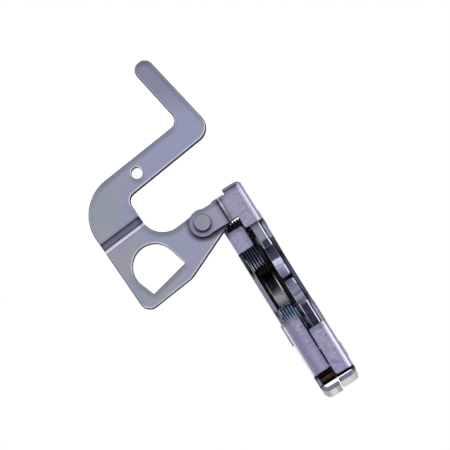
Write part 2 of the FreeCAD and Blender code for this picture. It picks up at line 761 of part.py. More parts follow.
def make_coil(name, x, y, z, side, radius, wire, pitch, turns, leg):
    """A wound spring about X, with a straight leg at its right-hand end."""
    body = new_body(name, x, y, z)
    sketch = new_sketch(body, "XY_Plane", "0")
    step = f"(360 deg / {WIRE_SIDES})"
    draw_polygon(sketch, [(f"{wire} * cos({i} * {step})", f"{wire} * sin({i} * {step}) - {radius}")
                          for i in range(WIRE_SIDES)])
    coil = body.newObject("PartDesign::AdditiveHelix", f"{name}_helix")
    coil.Profile = sketch
    coil.ReferenceAxis = (origin_feature(body, "X_Axis"), [""])
    coil.Mode = 1
    bind(coil, "Pitch", pitch)
    bind(coil, "Turns", turns)
    coil.LeftHanded = side < 0
    doc.recompute()
    start = "0" if side < 0 else f"-({leg})"
    extrude(body, "XY_Plane", start, leg, circles=[(f"({pitch}) * ({turns})", f"-{radius}", wire)])
    return body


def make_pivots():
    left = "-case_thickness"
    inner_left = f"{left} + sheet_wall"
    inner = "case_thickness - 2 * sheet_wall"
    for label, height in PIVOTS:
        side = 1 if label == "upper" else -1
        make_rotor(f"{label}_rotor", height, side)
        turned(f"{label}_pivot_bush", inner_left, PIVOT_DEPTH, height,
               [("0", inner, "bush_radius")], bore="pivot_rivet_radius + rivet_fit")
        rivet = turned(f"{label}_pivot_rivet", left, PIVOT_DEPTH, height,
                       [("0", "case_thickness", "pivot_rivet_radius")])
        if label == "lower":
            extrude(rivet, "YZ_Plane", "-pivot_head", "pivot_head",
                    circles=[("0", "0", "pivot_head_radius")])
            round_rims(rivet, "head_round", 0, [-number("pivot_head")])
        rotor_side = "sheet_wall + rotor_wall_gap + rotor_wall + spool_end_gap"
        turned(f"{label}_spring_spool", f"{inner_left} + spool_wall_gap", PIVOT_DEPTH, height,
               [("0", f"{inner} - spool_wall_gap - ({rotor_side} - sheet_wall)",
                 "spool_radius")], bore="bush_radius + rivet_fit")
        make_coil(f"{label}_rotor_spring", f"{inner_left} + coil_wall_gap + wire_radius",
                  PIVOT_DEPTH, height, side, "coil_radius", "wire_radius",
                  "coil_pitch", "coil_turns", "coil_leg")


PAWL_LEFT = "-(case_thickness - sheet_wall - arm_wall_gap - arm_wall)"


def make_pawl():
    """Thick leg hung behind the claws, with a rounded nose and two teeth for their tails."""
    body = new_body("pawl", PAWL_LEFT, PAWL_DEPTH, "pawl_pivot_height")
    leg = [
        ("-pawl_leg_front", "0"),
        ("-pawl_leg_front", "-pawl_leg_drop"),
        ("pawl_leg_back", "-pawl_leg_drop"),
        ("pawl_leg_back", "0"),
    ]
    extrude(body, "YZ_Plane", "0", "pawl_wall", polygons=[leg])
    extrude(body, "YZ_Plane", "0", "pawl_wall", circles=[("0", "0", "pawl_hub_radius")])
    nose = [
        ("-pawl_nose_reach", "pawl_nose_radius - pawl_nose_drop"),
        ("-pawl_nose_reach", "-pawl_nose_radius - pawl_nose_drop"),
        ("0", "-pawl_nose_radius - pawl_nose_drop"),
        ("0", "pawl_nose_radius - pawl_nose_drop"),
    ]
    extrude(body, "YZ_Plane", "0", "pawl_wall", polygons=[nose])
    extrude(body, "YZ_Plane", "0", "pawl_wall",
            circles=[("-pawl_nose_reach", "-pawl_nose_drop", "pawl_nose_radius")])
    nose_arc = number("2 * pawl_nose_radius")
    round_rolled(body, "pawl_roll", 0, [0, number("pawl_wall")],
                 lambda edge: edge.Length > nose_arc and edge.Curve.TypeId == "Part::GeomCircle")
    reach = f"-({PAWL_LEFT}) - pawl_wall - sheet_wall - rotor_wall_gap - tooth_end_gap"
    for side in ("", "-"):
        low = f"{side}tooth_half_spacing - pawl_pivot_height - tooth_half_height"
        tooth = [
            ("-tooth_front", low),
            ("tooth_back", low),
            ("tooth_back", f"{low} + 2 * tooth_half_height"),
            ("-tooth_front", f"{low} + 2 * tooth_half_height"),
        ]
        extrude(body, "YZ_Plane", "pawl_wall - overrun", f"{reach} + overrun", polygons=[tooth])
    extrude(body, "YZ_Plane", "-overrun", "pawl_wall + 2 * overrun", cut=True,
            circles=[("0", "0", "pawl_bush_radius + running_fit")])
    return body


def make_trip_arm():
    """Stamped arm that bridges the upper spring and ends in a foot under the lever's nose."""
    body = new_body("trip_arm", f"{PAWL_LEFT} - arm_wall", PAWL_DEPTH, "pawl_pivot_height")
    top = "(case_top - sheet_wall - arm_top_gap - pawl_pivot_height)"
    under = f"({top} - arm_width)"
    front = f"({LEVER_FRONT} + lever_wall + arm_front_gap - {PAWL_DEPTH})"
    foot_back = f"({front} + arm_foot_length)"
    foot_top = "(rivet_height - lug_drop - lug_gap - pawl_pivot_height)"
    outline = [
        ("-arm_hub_radius", "0"),
        ("-arm_root_back", under),
        (foot_back, under),
        (foot_back, f"{foot_top} - arm_wall"),
        (front, f"{foot_top} - arm_wall"),
        (front, f"{top} - arm_tip_slant"),
        (foot_back, top),
        ("-arm_hub_radius", top),
        ("arm_hub_radius", "0"),
    ]
    extrude(body, "YZ_Plane", "0", "arm_wall", polygons=[outline])
    extrude(body, "YZ_Plane", "0", "arm_wall", circles=[("0", "0", "arm_hub_radius")])
    foot = [
        (front, f"{foot_top} - arm_wall"),
        (foot_back, f"{foot_top} - arm_wall"),
        (foot_back, foot_top),
        (front, foot_top),
    ]
    extrude(body, "YZ_Plane", "0", f"-({PAWL_LEFT} - arm_wall) - arm_foot_end", polygons=[foot])
    extrude(body, "YZ_Plane", "-overrun", "arm_wall + 2 * overrun", cut=True,
            circles=[("0", "0", "pawl_bush_radius + running_fit")])
    return body


def make_pawl_pivot():
    left = "-case_thickness"
    place = (PAWL_DEPTH, "pawl_pivot_height")
    turned("pawl_bush", f"{left} + sheet_wall", *place,
           [("0", "case_thickness - 2 * sheet_wall", "pawl_bush_radius")],
           bore="pawl_rivet_radius + rivet_fit")
    rivet = turned("pawl_rivet", left, *place, [("0", "case_thickness", "pawl_rivet_radius")])
    extrude(rivet, "YZ_Plane", "case_thickness", "pawl_head",
            circles=[("0", "0", "pawl_head_radius")])
    round_rims(rivet, "head_round", 0, [number("case_thickness + pawl_head")])
    make_coil("pawl_spring", "-pawl_coil_start", *place, 1, "pawl_coil_radius",
              "pawl_wire_radius", "pawl_coil_pitch", "pawl_coil_turns", "pawl_coil_radius")


def make_spacers():
    left = "-case_thickness"
    for label, place in SPACER_PLACES.items():
        shank = f"{label}_spacer_rivet_radius"
        turned(f"{label}_spacer", f"{left} + sheet_wall", *place,
               [("0", "case_thickness - 2 * sheet_wall", f"{label}_spacer_radius")],
               bore=f"{shank} + rivet_fit")
        rivet = turned(f"{label}_spacer_rivet", left, *place, [("0", "case_thickness", shank)])
        if label == "rear":
            extrude(rivet, "YZ_Plane", "case_thickness", "rear_head",
                    circles=[("0", "0", "rear_head_radius")])
            round_rims(rivet, "head_round", 0, [number("case_thickness + rear_head")])


make_back_plate()
make_cover_plate()
make_release_lever()
make_lever_fasteners()
make_pivots()
make_pawl()
make_trip_arm()
make_pawl_pivot()
make_spacers()
doc.recompute()

faults = [item.Label for item in doc.Objects if {"Invalid", "Error"} & set(item.State)]
for part in PARTS:
    if part.Shape.isNull() or not part.Shape.isValid():
        faults.append(f"{part.Label} shape")
if faults:
    raise RuntimeError(f"failed objects: {faults}")

os.makedirs("parts", exist_ok=True)
for part in PARTS:
    part.Shape.exportStep(f"parts/{part.Label}.step")
    box = part.Shape.BoundBox
    print(f"{part.Label}: {len(part.Shape.Solids)} solid, {part.Shape.Volume:.0f} mm3, "
          f"x {box.XMin:.2f} {box.XMax:.2f}, y {box.YMin:.2f} {box.YMax:.2f}, "
          f"z {box.ZMin:.2f} {box.ZMax:.2f}")
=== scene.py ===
"""Looks of the rotary door latch: zinc-plated sheet, turned and blanked steel, and dark spring wire.

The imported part's frame is in metres: X is normal to the mounting face, Y runs into the case and Z
runs up its long side. The finishes give their places and sizes in millimetres of that frame.
"""
import json
import math

import bpy
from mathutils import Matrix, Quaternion, Vector


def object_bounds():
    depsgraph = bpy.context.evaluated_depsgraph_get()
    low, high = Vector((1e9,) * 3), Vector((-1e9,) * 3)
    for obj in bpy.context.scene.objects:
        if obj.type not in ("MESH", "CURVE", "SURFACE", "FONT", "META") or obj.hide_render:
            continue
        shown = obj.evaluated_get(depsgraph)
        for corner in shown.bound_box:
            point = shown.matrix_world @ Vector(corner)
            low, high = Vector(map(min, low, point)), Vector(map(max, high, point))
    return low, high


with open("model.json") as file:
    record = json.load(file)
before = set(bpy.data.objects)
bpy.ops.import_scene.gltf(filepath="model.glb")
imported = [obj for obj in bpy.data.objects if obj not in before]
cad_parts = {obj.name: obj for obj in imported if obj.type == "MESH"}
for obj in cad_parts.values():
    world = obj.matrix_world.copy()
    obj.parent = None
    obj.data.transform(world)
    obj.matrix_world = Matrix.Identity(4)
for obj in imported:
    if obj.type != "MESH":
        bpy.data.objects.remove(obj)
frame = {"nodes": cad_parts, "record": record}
cad_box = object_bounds()

MM = 0.001

# view of the photograph
VIEW_WIDTH = 0.225
VIEW_DISTANCE = 1.9
VIEW_CENTRE = Vector((-17.8 * MM, 0.0, 36.6 * MM))
VIEW_ELEVATION = math.radians(-6.8)
VIEW_ROLL = math.radians(-31.8)
SENSOR = 36.0

# studio: lamps as name, place from the object's middle, size and power
ROOM_COLOUR = (1.0, 0.99, 1.0, 1.0)
ROOM_LIGHT = 0.85
LAMPS = [("key_lamp", (-1.2, -1.2, 1.2), 1.2, 9.0), ("fill_lamp", (1.4, -1.0, -0.2), 1.0, 5.0)]
FLOOR_DROP = 0.29
FLOOR_SIZE = 12.0
FLOOR_ROUGHNESS = 0.8

# landmarks of the latch, in millimetres
CASE_LEFT, CASE_RIGHT = -20.25, 0.0
CASE_BACK = 66.0
TAB_RIGHT, TAB_LEFT = -12.8, -15.2
TAB_FOOT = 36.75
LEVER_SIDE = -22.0
LEVER_JOGGLE_SLOPE = math.tan(math.radians(5.3))

# side from which the light is kept away, as the shadows of the photograph lie
SHADE_LEAN = (0.7, 0.0, 1.3)
SHADE_SAMPLES = 8

# how far a bevelled normal has turned, as a dot product, where an edge mask is 0 and where 1
EDGE_START, EDGE_FULL = 0.995, 0.86
BEVEL_SAMPLES = 6
FINE_BEVEL_SAMPLES = 8

# middle part of a noise's values, over which a roughness changes
NOISE_LOW, NOISE_HIGH = 0.3, 0.7

# how metallic the shader is: clean sheet, torn sheet or sheet painted as highlight or shade, blanked
# plate
SHEET_METAL, DULL_METAL, BLANKED_METAL = 0.9, 0.1, 0.75

# noise stretched into fine lines along the flanges, the plates' thickness or round a turned piece
CRYSTAL_SIZE = 0.5
STREAK_SIZE = 0.5
ACROSS_FLANGES = (7.0, 7.0, 1.0)
THROUGH_LEVER = (1.0, 6.0, 1.0)
THROUGH_PLATE = (8.0, 1.0, 1.0)
ROUND_BUSH = (1.0, 20.0, 20.0)
ROUND_TUBE = (20.0, 1.0, 1.0)


def rgb(red, green, blue):
    """A colour given as 0 to 255 display values."""
    def linear(value):
        share = value / 255.0
        return share / 12.92 if share <= 0.04045 else ((share + 0.055) / 1.055) ** 2.4
    return (linear(red), linear(green), linear(blue), 1.0)


# blooms of passivated zinc: size, detail, shift, the noise's start and end, strength, colour
ZINC_BLOOMS = [
    (17.0, 2.0, 7.3, (0.52, 0.70), 0.6, rgb(148, 154, 156)),
    (11.0, 1.0, 3.1, (0.58, 0.72), 0.5, rgb(142, 132, 180)),
    (8.0, 1.0, 5.9, (0.62, 0.74), 0.4, rgb(160, 140, 164))]

# colours by height, in millimetres, painted as highlights, reflections and shade: the lever's bend
# lines, the cut rims and the springs
JOGGLE_LIGHT_BANDS = [
    (62.0, rgb(255, 255, 255)), (63.5, rgb(255, 252, 255)), (64.6, rgb(255, 252, 255)),
    (64.9, rgb(112, 108, 130)), (65.8, rgb(190, 184, 212)), (67.6, rgb(186, 180, 208)),
    (67.9, rgb(82, 76, 100)), (68.2, rgb(82, 76, 100)), (68.5, rgb(225, 225, 230)),
    (69.2, rgb(240, 240, 244)), (69.8, rgb(255, 255, 255))]
UPPER_ROTOR_REFLECTION_BANDS = [
    (0.0, rgb(200, 198, 226)), (9.6, rgb(215, 213, 238)), (10.4, rgb(62, 68, 92)),
    (15.2, rgb(44, 52, 72)), (15.8, rgb(44, 42, 64)), (19.5, rgb(48, 46, 68)),
    (21.0, rgb(136, 139, 154)), (31.0, rgb(124, 128, 144))]
LOWER_ROTOR_REFLECTION_BANDS = [
    (-31.0, rgb(30, 30, 54)), (-17.5, rgb(38, 36, 68)), (-15.5, rgb(122, 124, 146)),
    (-11.2, rgb(144, 148, 168)), (-10.2, rgb(92, 98, 122)), (-8.8, rgb(128, 136, 162)),
    (-1.0, rgb(134, 142, 166))]
PAWL_SHADING_BANDS = [
    (-12.0, rgb(255, 253, 248)), (-6.0, rgb(250, 248, 246)), (-3.0, rgb(110, 106, 108)),
    (-0.5, rgb(18, 15, 24)), (5.0, rgb(12, 10, 16)), (10.0, rgb(60, 56, 34))]
SPRING_REFLECTION_BANDS = [
    (-45.0, rgb(112, 144, 174)), (-10.0, rgb(126, 160, 188)), (4.0, rgb(56, 62, 80)),
    (45.0, rgb(48, 52, 66))]


class Recipe:
    """A material's node tree, with short calls for the nodes that the finishes share.
    """

    def __init__(self, name):
        self.material = bpy.data.materials.new(name)
        self.material.use_nodes = True
        self.tree = self.material.node_tree
        self.shader = self.tree.nodes["Principled BSDF"]
        self.position = self.add("ShaderNodeTexCoord").outputs["Object"]
        self.normal = self.add("ShaderNodeNewGeometry").outputs["Normal"]
        self.place = self.split(self.position)
        self.facing = self.split(self.normal)
        self.colour = None

    def add(self, kind, **settings):
        node = self.tree.nodes.new(kind)
        for key, value in settings.items():
            setattr(node, key, value)
        return node

    def feed(self, socket, value):
        """Link an output to a socket, or set the socket's own value."""
        if isinstance(value, bpy.types.NodeSocket):
            self.tree.links.new(value, socket)
        else:
            socket.default_value = value

    def math(self, operation, first, second=0.0):
        node = self.add("ShaderNodeMath", operation=operation)
        self.feed(node.inputs[0], first)
        self.feed(node.inputs[1], second)
        return node.outputs[0]

    def all_of(self, first, *others):
        """Masks multiplied together. A plain number among them sets the strength."""
        for other in others:
            first = self.math("MULTIPLY", first, other)
        return first

    def either(self, first, *others):
        """The strongest of the masks."""
        for other in others:
            first = self.math("MAXIMUM", first, other)
        return first

    def split(self, vector):
        node = self.add("ShaderNodeSeparateXYZ")
        self.feed(node.inputs[0], vector)
        return node.outputs

    def steepness(self, axis):
        """How squarely the surface faces along an axis, to either side: 1 is straight along it."""
        return self.math("ABSOLUTE", self.facing[axis])

    def span(self, value, low, high, to_low=0.0, to_high=1.0):
        """Value mapped from low..high to to_low..to_high, held at the ends."""
        node = self.add("ShaderNodeMapRange")
        self.feed(node.inputs["Value"], value)
        for socket, number in (("From Min", low), ("From Max", high),
                               ("To Min", to_low), ("To Max", to_high)):
            self.feed(node.inputs[socket], number)
        return node.outputs["Result"]

    def ramp(self, value, stops, unit=1.0):
        """Mask that rises between two stops. With four, it falls again between the last two."""
        mask = self.span(value, stops[0] * unit, stops[1] * unit)
        if len(stops) == 4:
            mask = self.all_of(mask, self.span(value, stops[3] * unit, stops[2] * unit))
        return mask

    def zone(self, **places):
        """Mask by place, with the stops along X, Y or Z in millimetres."""
        return self.all_of(*[self.ramp(self.place[axis], stops, MM)
                             for axis, stops in places.items()])

    def turned(self, **parts):
        """Mask by the way the surface faces, with the stops for its normal's X, Y or Z."""
        return self.all_of(*[self.ramp(self.facing[axis], stops)
                             for axis, stops in parts.items()])

    def number(self, mask, bare, covered):
        """A number that goes from bare, where the mask is 0, to covered, where it is 1."""
        return self.span(mask, 0.0, 1.0, bare, covered)

    def fade(self, axis, start, end, first, last):
        """A number that goes from first to last between two places on an axis."""
        return self.span(self.place[axis], start * MM, end * MM, first, last)

    def noise(self, size, detail=2.0, stretch=(1.0, 1.0, 1.0), shift=0.0, rough=0.5):
        """Cloudy noise with blobs of about the given size, stretched along the axes."""
        mapping = self.add("ShaderNodeMapping")
        self.feed(mapping.inputs["Vector"], self.position)
        mapping.inputs["Scale"].default_value = [1.0 / (size * MM * s) for s in stretch]
        mapping.inputs["Location"].default_value = (shift, shift, shift)
        node = self.add("ShaderNodeTexNoise")
        self.feed(node.inputs["Vector"], mapping.outputs[0])
        node.inputs["Scale"].default_value = 1.0
        node.inputs["Detail"].default_value = detail
        node.inputs["Roughness"].default_value = rough
        return node.outputs["Fac"]

    def patches(self, size, limits, least=0.0, most=1.0, **noise):
        """Noise made into patches: least below the limits and most above them."""
        return self.span(self.noise(size, **noise), *limits, least, most)

    def mix(self, factor, first, second, blend="MIX"):
        node = self.add("ShaderNodeMix", data_type="RGBA", blend_type=blend)
        self.feed(node.inputs["Factor"], factor)
        self.feed(node.inputs["A"], first)
        self.feed(node.inputs["B"], second)
        return node.outputs["Result"]

    def paint(self, mask, colour, blend="MIX"):
        """Lay a colour over the layers so far, where the mask is 1."""
        self.colour = self.mix(mask, self.colour, colour, blend)

    def bands(self, value, stops):
        """Colour that runs through (millimetres, colour) stops."""
        node = self.add("ShaderNodeValToRGB")
        low, high = stops[0][0], stops[-1][0]
        self.feed(node.inputs[0], self.span(value, low * MM, high * MM))
        elements = node.color_ramp.elements
        while len(elements) < len(stops):
            elements.new(0.5)
        for element, (at, colour) in zip(elements, stops):
            element.position = (at - low) / (high - low)
            element.color = colour
        return node.outputs["Color"]

    def rounded(self, radius, samples=BEVEL_SAMPLES):
        """The surface's normal, with its edges rounded."""
        bevel = self.add("ShaderNodeBevel", samples=samples)
        bevel.inputs["Radius"].default_value = radius * MM
        return bevel.outputs[0]

    def edges(self, radius):
        """How far the surface turns within a radius: 0 on flats, 1 on sharp edges."""
        dot = self.add("ShaderNodeVectorMath", operation="DOT_PRODUCT")
        self.feed(dot.inputs[0], self.rounded(radius))
        self.feed(dot.inputs[1], self.normal)
        return self.span(dot.outputs["Value"], EDGE_START, EDGE_FULL)

    def openness(self, distance):
        """1 in the open, towards 0 where surfaces close in on the shaded side."""
        leant = self.add("ShaderNodeVectorMath", operation="ADD")
        self.feed(leant.inputs[0], self.normal)
        leant.inputs[1].default_value = SHADE_LEAN
        unit = self.add("ShaderNodeVectorMath", operation="NORMALIZE")
        self.feed(unit.inputs[0], leant.outputs[0])
        node = self.add("ShaderNodeAmbientOcclusion", samples=SHADE_SAMPLES)
        node.inputs["Distance"].default_value = distance * MM
        self.feed(node.inputs["Normal"], unit.outputs[0])
        return node.outputs["AO"]

    def bump(self, height, strength, distance, radius):
        """Relief over edges that are rounded by the radius."""
        node = self.add("ShaderNodeBump")
        self.feed(node.inputs["Height"], height)
        node.inputs["Strength"].default_value = strength
        node.inputs["Distance"].default_value = distance * MM
        self.feed(node.inputs["Normal"], self.rounded(radius))
        self.feed(self.shader.inputs["Normal"], node.outputs[0])

    def finish(self, metal, grain, smooth, coarse):
        """Hand the colour and metal to the shader, with a roughness that follows the grain."""
        rough = self.span(grain, NOISE_LOW, NOISE_HIGH, smooth, coarse)
        self.feed(self.shader.inputs["Base Color"], self.colour)
        self.feed(self.shader.inputs["Metallic"], metal)
        self.feed(self.shader.inputs["Roughness"], rough)
        return self.material


def zinc_colour(recipe, pale, cool, shift=0.0):
    """Passivated zinc: a pale ground that drifts to blue, green, purple and rose."""
    ground = recipe.patches(30.0, (0.38, 0.60), detail=1.5, shift=shift)
    colour = recipe.mix(ground, pale, cool)
    for size, detail, offset, limits, strength, tint in ZINC_BLOOMS:
        bloom = recipe.patches(size, limits, most=strength, detail=detail, shift=shift + offset)
        colour = recipe.mix(bloom, colour, tint)
    return colour


def spangle(recipe, colour):
    """Fine crystals of the plating. They are returned for the relief."""
    crystals = recipe.noise(CRYSTAL_SIZE, detail=3.0, rough=0.65)
    recipe.paint(recipe.span(crystals, NOISE_LOW, NOISE_HIGH, to_high=0.10), colour)
    return crystals


def knocks(recipe, size, limits, spread, shift, strength, colour):
    """Small dull marks, gathered in a few places."""
    mark = recipe.patches(size, limits, detail=5.0, shift=12.0, rough=0.7)
    gathered = recipe.patches(spread, (0.5, 0.62), shift=shift)
    recipe.paint(recipe.all_of(mark, gathered, strength), colour)


def plated(recipe, metal):
    """What all plated sheet shares: shade in the corners and a satin roughness."""
    shade = recipe.span(recipe.openness(distance=3.0), 0.55, 0.95, to_low=0.95, to_high=0.0)
    recipe.paint(shade, rgb(30, 26, 38))
    satin = recipe.noise(3.0, detail=3.0, shift=5.0)
    return recipe.finish(metal, satin, smooth=0.25, coarse=0.36)


def flange_drag(recipe, front):
    """Dark and bright drag marks of the folding tool across the flanges. The dark are returned."""
    fine = {"detail": 1.0, "stretch": ACROSS_FLANGES}
    drag = recipe.all_of(recipe.patches(STREAK_SIZE, (0.52, 0.66), shift=1.7, **fine), front,
                         recipe.patches(7.0, (0.40, 0.62), least=0.3, detail=1.0, shift=8.8))
    recipe.paint(recipe.all_of(drag, 0.6), rgb(98, 90, 122))
    glint = recipe.patches(STREAK_SIZE, (0.58, 0.70), shift=9.2, **fine)
    recipe.paint(recipe.all_of(glint, front, 0.4), rgb(206, 200, 226))
    return drag


def case_edge_shade(recipe):
    """Painted shade as a thin dark line along the cut edges, where they turn from the light, darkest
    as painted shadow round the lower end lips.
    """
    edge = recipe.edges(0.9)
    broken = recipe.patches(1.6, (0.36, 0.62), least=0.6, detail=4.0)
    recipe.paint(recipe.all_of(edge, broken, 0.85), rgb(58, 52, 76))
    recipe.paint(recipe.all_of(edge, recipe.zone(Z=(-48, -52)), 0.8), rgb(28, 24, 38))


def tab_rim_shade(recipe):
    """Painted shade on the rim of the tab that carries the lever."""
    rim = recipe.all_of(recipe.ramp(recipe.steepness("Y"), (0.95, 0.87)),
                        recipe.turned(Z=(0.5, 0.2)),
                        recipe.zone(X=(TAB_LEFT - 0.4, TAB_LEFT - 1.4), Y=(3.4, 3.0), Z=(33, 34)))
    recipe.paint(recipe.all_of(rim, 0.9), rgb(34, 28, 42))


def flange_bend_highlights(recipe, front):
    """Painted highlights on the bends of the front flanges, the left one a white line, with painted
    shade beside it.
    """
    right = recipe.all_of(recipe.zone(X=(-3.2, -2.8, -1.6, -1.1), Y=(4, 3)),
                          recipe.fade("Z", -20, 20, 0.85, 0.65))
    recipe.paint(right, rgb(212, 208, 238))
    left = recipe.all_of(recipe.turned(X=(-0.66, -0.78, -0.95, -0.99)),
                         recipe.zone(X=(-17.0, -17.6), Y=(4, 3)),
                         recipe.fade("Z", -10, 10, 1.0, 0.4))
    recipe.paint(left, rgb(246, 246, 255))
    shaded = recipe.all_of(recipe.zone(X=(-14.5, -16.5), Z=(2, -8)), front, 0.6)
    recipe.paint(shaded, rgb(112, 112, 140))


def case_inside(recipe):
    """Oil and shade inside the case: on both webs, and on everything deep in it."""
    room = recipe.zone(X=(CASE_LEFT + 0.35, CASE_LEFT + 0.95, CASE_RIGHT - 0.9, CASE_RIGHT - 0.3),
                       Y=(2.6, 7.0, CASE_BACK - 1.2, CASE_BACK - 0.6))
    webs = recipe.ramp(recipe.steepness("X"), (0.4, 0.8))
    inner = recipe.all_of(room, recipe.either(webs, recipe.zone(Y=(36, 44))))
    recipe.paint(recipe.all_of(inner, 0.9), rgb(26, 24, 32))


def mouth_edge_darkening(recipe):
    """Darkens the right pan's cut edge in the mouth, bluer beside the upper claw."""
    oil = recipe.all_of(recipe.turned(Y=(-0.5, -0.8)), recipe.zone(X=(-4, -2.5), Y=(5, 8)))
    tint = recipe.mix(recipe.zone(Z=(11, 14, 30, 33)), rgb(84, 82, 110), rgb(54, 52, 82))
    recipe.paint(recipe.all_of(oil, 0.9), tint)


def tab_joggle_highlight(recipe):
    """Painted highlight down the slope of the tab's joggle, white-blue at the top, and a painted
    shade line beside it. The highlight's mask is returned.
    """
    slope = recipe.all_of(recipe.turned(Y=(-0.5, -0.62)),
                          recipe.zone(Z=(TAB_FOOT - 2.75, TAB_FOOT - 0.75)))
    ray = recipe.all_of(slope, recipe.zone(X=(TAB_RIGHT - 0.3, TAB_RIGHT - 0.8,
                                              TAB_RIGHT - 1.6, TAB_RIGHT - 1.9)))
    tint = recipe.mix(recipe.zone(Z=(39, 46)), rgb(120, 140, 154), rgb(206, 222, 246))
    recipe.paint(ray, tint)
    line = recipe.all_of(slope, recipe.zone(X=(TAB_LEFT + 0.7, TAB_LEFT + 0.4,
                                               TAB_LEFT - 0.1, TAB_LEFT - 0.4)))
    recipe.paint(recipe.all_of(line, 0.9), rgb(44, 42, 58))
    return ray


def end_wall_highlight(recipe):
    """Outside of the lower end walls, painted near white as a highlight. Its mask is returned."""
    wall = recipe.all_of(recipe.turned(Z=(-0.93, -0.98)), recipe.zone(Z=(-40, -50)))
    recipe.paint(wall, rgb(250, 250, 254))
    return wall


def top_gap_shadow(recipe, front):
    """Painted shadow in the gap across the top of the upper flanges."""
    gap_shadow = recipe.all_of(recipe.zone(Z=(50.4, 50.7, 51.1, 51.4)), front)
    recipe.paint(recipe.all_of(gap_shadow, 0.8), rgb(40, 34, 52))


def case_sheet():
    """Folded pans: marked by the folding tool in front, oily and with painted shade inside, and with
    painted highlights and shadows on the bends, edges, tab and end walls.
    """
    recipe = Recipe("case_sheet")
    front = recipe.all_of(recipe.turned(Y=(-0.90, -0.98)), recipe.zone(Y=(0.8, 0.3)))
    recipe.colour = zinc_colour(recipe, rgb(152, 147, 172), rgb(146, 144, 174))
    crystals = spangle(recipe, rgb(210, 208, 228))
    drag = flange_drag(recipe, front)
    case_edge_shade(recipe)
    tab_rim_shade(recipe)
    flange_bend_highlights(recipe, front)
    knocks(recipe, size=1.1, limits=(0.70, 0.76), spread=14.0, shift=21.0, strength=0.6,
           colour=rgb(104, 98, 124))
    case_inside(recipe)
    mouth_edge_darkening(recipe)
    ray = tab_joggle_highlight(recipe)
    wall = end_wall_highlight(recipe)
    top_gap_shadow(recipe, front)
    relief = recipe.math("SUBTRACT", recipe.all_of(crystals, 0.25), drag)
    recipe.bump(relief, strength=0.25, distance=0.10, radius=0.35)
    # the joggle's and end walls' painted white highlights are given less metal
    white = recipe.either(recipe.all_of(ray, 0.6), wall)
    return plated(recipe, recipe.number(white, SHEET_METAL, DULL_METAL))


def lever_joggle(recipe):
    """Painted highlights and painted shade as bend lines across the lever. The sheet beside them is
    returned as a mask.
    """
    height = recipe.math("SUBTRACT", recipe.place["Z"],
                         recipe.math("MULTIPLY", recipe.place["X"], LEVER_JOGGLE_SLOPE))
    recipe.paint(1.0, recipe.bands(height, JOGGLE_LIGHT_BANDS), blend="MULTIPLY")
    recipe.paint(recipe.ramp(height, (63.2, 63.6, 64.5, 64.9), MM), rgb(246, 242, 255))
    return recipe.either(recipe.ramp(height, (62.8, 61.8), MM),
                         recipe.ramp(height, (69.8, 70.8), MM))


def lever_rim_highlights(recipe, flat_sheet):
    """Painted highlight strips on the rolled rims, broadest low down. The undersides are returned.
    """
    strip = recipe.all_of(recipe.ramp(recipe.steepness("Y"), (0.90, 0.93, 0.985, 0.997)),
                          recipe.turned(X=(-0.4, -0.1), Z=(0.25, 0.0)), flat_sheet, 0.8)
    recipe.paint(strip, rgb(226, 228, 246))
    downward = recipe.split(recipe.rounded(1.7, FINE_BEVEL_SAMPLES))["Z"]
    glow = recipe.all_of(recipe.ramp(downward, (-0.05, -0.12, -0.28, -0.34)), flat_sheet, 0.75)
    recipe.paint(glow, rgb(232, 234, 250))
    return recipe.all_of(recipe.ramp(downward, (-0.28, -0.38)), flat_sheet)


def lever_walls(recipe, flat_sheet, underside):
    """Dark torn metal on the walls, with painted shade on the undersides and in a thin outline. Its
    mask is returned.
    """
    level = recipe.steepness("Y")
    outline = recipe.all_of(recipe.ramp(level, (0.93, 0.87)), flat_sheet)
    torn_and_shaded = recipe.either(recipe.ramp(level, (0.68, 0.42)), underside, outline)
    torn = recipe.patches(STREAK_SIZE, (0.4, 0.65), stretch=THROUGH_LEVER, shift=3.3)
    recipe.paint(recipe.all_of(torn_and_shaded, 0.95), recipe.mix(torn, rgb(34, 28, 44), rgb(66, 58, 80)))
    return torn_and_shaded


def lever_sheet():
    """Stamped lever: smooth faces, painted highlights and shade on the joggle and rims, and torn
    walls.
    """
    recipe = Recipe("lever_sheet")
    left = zinc_colour(recipe, rgb(148, 150, 158), rgb(137, 146, 160))
    right = zinc_colour(recipe, rgb(148, 148, 170), rgb(142, 148, 176), shift=1.4)
    recipe.colour = recipe.mix(recipe.zone(X=(-66, -36)), left, right)
    crystals = spangle(recipe, rgb(196, 200, 214))
    flat_sheet = lever_joggle(recipe)
    recipe.paint(recipe.fade("Z", 96, 112, 0.0, 0.5), rgb(112, 112, 136))
    knocks(recipe, size=0.9, limits=(0.68, 0.74), spread=16.0, shift=23.0, strength=0.5,
           colour=rgb(104, 104, 120))
    underside = lever_rim_highlights(recipe, flat_sheet)
    torn_and_shaded = lever_walls(recipe, flat_sheet, underside)
    recipe.feed(recipe.shader.inputs["Specular IOR Level"], recipe.number(torn_and_shaded, 0.5, 0.0))
    recipe.bump(crystals, strength=0.08, distance=0.10, radius=0.35)
    return plated(recipe, recipe.number(torn_and_shaded, SHEET_METAL, DULL_METAL))


